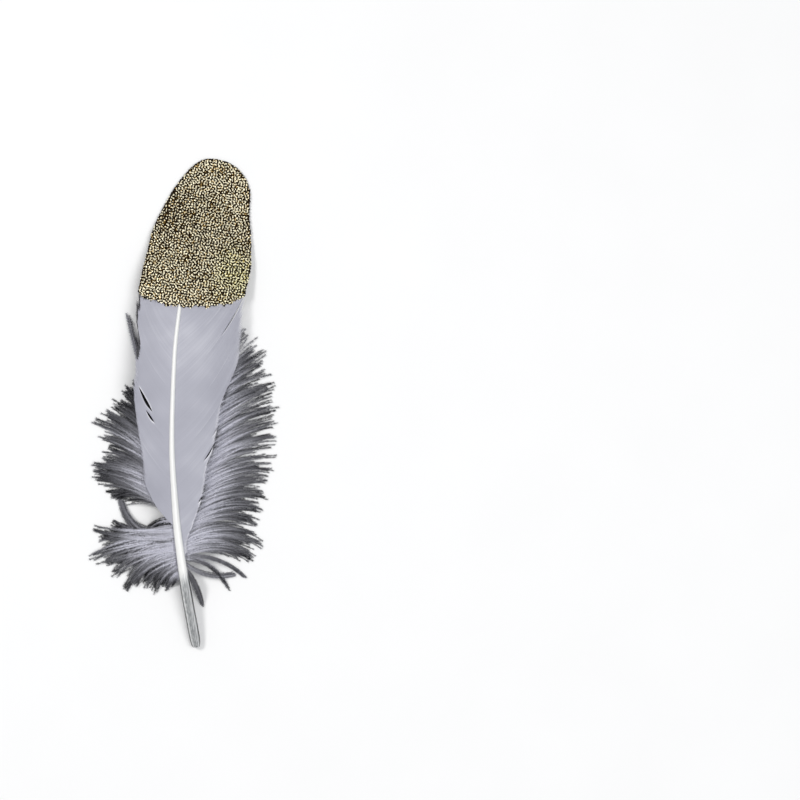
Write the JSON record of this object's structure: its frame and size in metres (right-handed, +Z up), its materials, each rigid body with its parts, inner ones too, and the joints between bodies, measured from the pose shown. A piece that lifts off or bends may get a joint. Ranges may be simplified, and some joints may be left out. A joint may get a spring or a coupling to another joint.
{
  "type": "goose quill feather",
  "caption": "Grey goose quill feather that lies flat: a bare horn calamus, smooth vanes, loose down at the root end and a tip dipped in gold glitter.",
  "frame": {"origin": "centre of the feather's outline seen from above, at the height of the surface that it lies on", "axes": "+Y along the feather from the calamus to the dipped tip, +Z up out of the surface, +X to the right with the tip at the top, seen from above"},
  "size_m": [0.0644, 0.1654, 0.0114],
  "materials": {
    "shaft_horn": "smooth keratin horn, white along the vanes and grey and translucent at the bare calamus",
    "vane_barbs": "smooth interlocked barbs, pale lavender grey",
    "down_barbs": "loose downy barbs, grey",
    "gold_glitter": "coarse pale gold glitter flakes in glue"
  },
  "bodies": {
    "root": {"shaft": "shaft_horn", "left_vane": "vane_barbs", "right_vane": "vane_barbs", "left_down": "down_barbs", "right_down": "down_barbs", "glitter_tip": "gold_glitter"}
  },
  "joints": []
}
